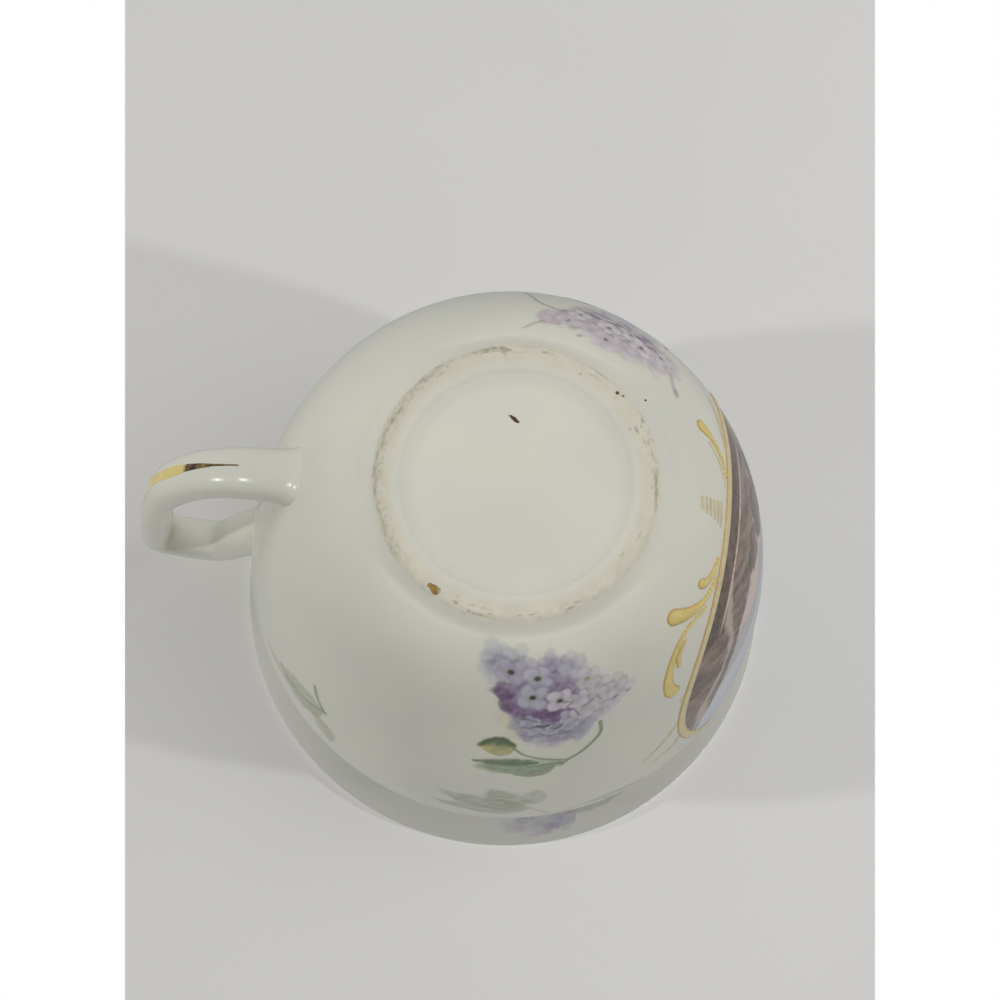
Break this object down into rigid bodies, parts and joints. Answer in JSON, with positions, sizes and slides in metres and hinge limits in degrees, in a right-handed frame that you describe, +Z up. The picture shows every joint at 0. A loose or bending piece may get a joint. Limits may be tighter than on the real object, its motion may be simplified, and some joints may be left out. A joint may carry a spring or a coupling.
{
  "type": "mustache cup",
  "caption": "Footed white porcelain teacup with flared lip, ear handle, domed mustache guard with a half-moon sip opening, gilt oval picture panel and lilac sprays.",
  "frame": {"origin": "centre of the foot ring's resting face", "axes": "+Z up along the cup's axis, +X towards the handle, -Y towards the drinker and the guard"},
  "size_m": [0.1175, 0.0986, 0.0772],
  "materials": {
    "porcelain": "clear gloss glaze",
    "biscuit": "unglazed, ground flat",
    "gilding": "burnished gold, worn in places",
    "lilac_print": "fired print",
    "leaf_print": "fired print",
    "picture_print": "fired print"
  },
  "bodies": {
    "root": {"cup_body": "porcelain", "foot_ring": "biscuit", "handle": "porcelain", "mustache_guard": "porcelain", "rim_gilding": "gilding", "guard_gilding": "gilding", "handle_gilding": "gilding", "picture_panel": "picture_print", "panel_frame": "gilding", "frame_scrolls": "gilding", "lilac_spray_front": "lilac_print", "lilac_spray_back": "lilac_print", "lilac_spray_rim": "lilac_print", "leaf_sprig": "leaf_print"}
  },
  "joints": []
}
